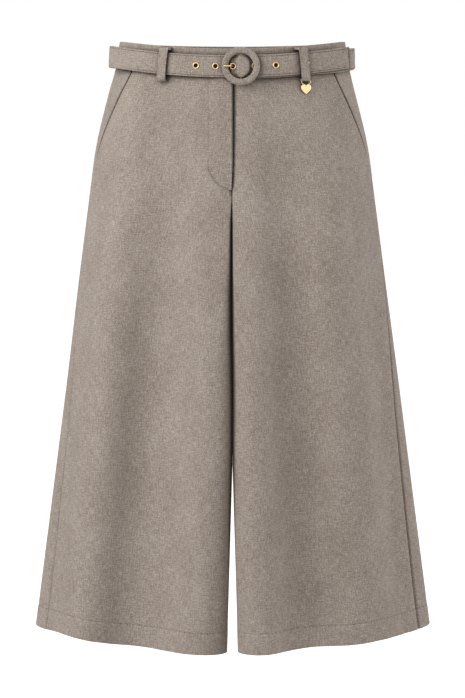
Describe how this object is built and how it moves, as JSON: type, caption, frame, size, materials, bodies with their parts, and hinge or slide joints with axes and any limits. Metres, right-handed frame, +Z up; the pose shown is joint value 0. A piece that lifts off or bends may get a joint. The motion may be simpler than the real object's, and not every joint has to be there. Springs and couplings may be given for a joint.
{
  "type": "belted culottes",
  "caption": "Wide-leg woven culottes, filled out as worn: slant pockets, J-stitched fly, belt loops, cloth-covered round buckle belt with eyelets, and a hanging heart charm.",
  "frame": {"origin": "centre of the waist opening, level with the waistband's top edge at the side seams, where the wearer's waist holds the garment", "axes": "+Z up, along the length; the front faces -Y; +X is the wearer's left, where the charm hangs"},
  "size_m": [0.4806, 0.2588, 0.7112],
  "materials": {
    "woven_cloth": "matt woven melange, greyish taupe",
    "brass": "polished rolled brass",
    "gilt": "satin gilt"
  },
  "bodies": {
    "garment": {"front_left": "woven_cloth", "front_right": "woven_cloth", "back_left": "woven_cloth", "back_right": "woven_cloth", "hem_left": "woven_cloth", "hem_right": "woven_cloth", "pocket_facing_left": "woven_cloth", "pocket_facing_right": "woven_cloth", "waistband_front_left": "woven_cloth", "waistband_front_right": "woven_cloth", "waistband_back": "woven_cloth", "fly_flap": "woven_cloth", "belt_strap": "woven_cloth", "buckle_ring": "woven_cloth", "loop_front_left": "woven_cloth", "loop_front_right": "woven_cloth", "loop_side_left": "woven_cloth", "loop_side_right": "woven_cloth", "loop_back": "woven_cloth", "eyelet_1": "brass", "eyelet_2": "brass", "eyelet_3": "brass", "eyelet_4": "brass", "eyelet_5": "brass", "eyelet_6": "brass", "buckle_bar": "brass", "buckle_prong": "brass"},
    "charm": {"heart_charm": "gilt"}
  },
  "joints": [
    {"name": "charm_swing", "type": "hinge", "parent": "garment", "child": "charm", "pos_m": [0.08451, -0.07984, -0.04197], "axis": [-0.9214, -0.3887, 0], "range_deg": [0, 90]}
  ]
}
